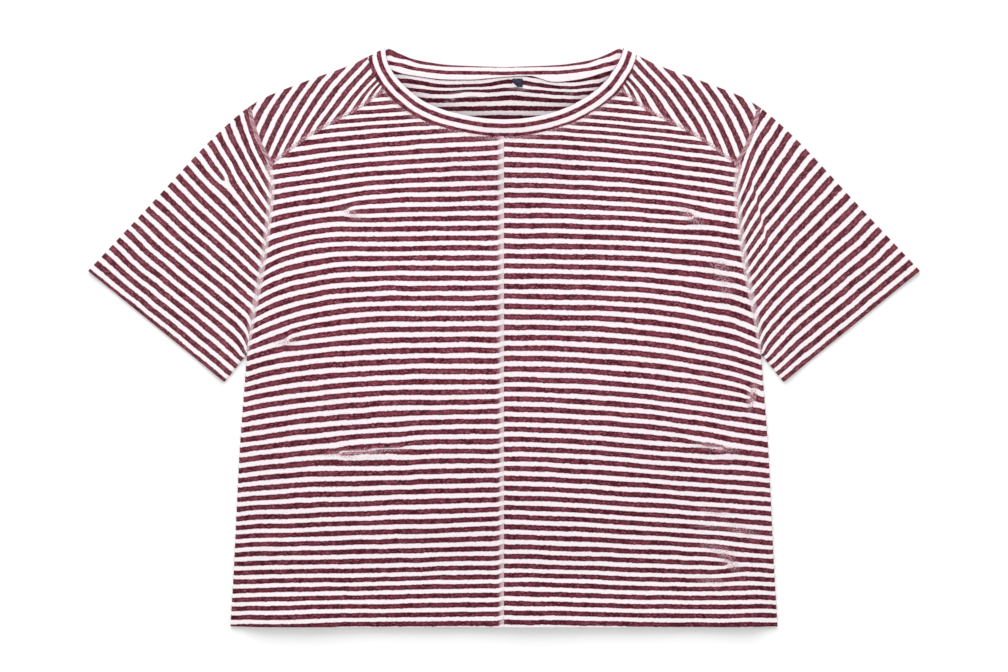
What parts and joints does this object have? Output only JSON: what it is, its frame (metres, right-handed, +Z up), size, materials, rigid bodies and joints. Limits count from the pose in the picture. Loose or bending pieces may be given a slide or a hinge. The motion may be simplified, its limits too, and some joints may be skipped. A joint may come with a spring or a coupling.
{
  "type": "short-sleeved knit top laid flat",
  "caption": "Boxy short-sleeved striped knit top lying flat, with a round neckband, a centre-front seam and forward shoulder seams.",
  "frame": {"origin": "middle of the whole outline, on the surface that the top lies on", "axes": "+X from sleeve to sleeve, to the viewer's right with the neck up; +Y from the hem to the neck; +Z up, out of the front"},
  "size_m": [0.8318, 0.5788, 0.0091],
  "materials": {
    "striped_knit": "matt slub jersey in narrow burgundy and white stripes",
    "striped_band": "matt folded band striped along its length",
    "dark_tape": "plain dark woven tape"
  },
  "bodies": {
    "root": {"back": "striped_knit", "front_left": "striped_knit", "front_right": "striped_knit", "sleeve_left": "striped_knit", "sleeve_right": "striped_knit", "neckband": "striped_band", "label": "dark_tape"}
  },
  "joints": []
}
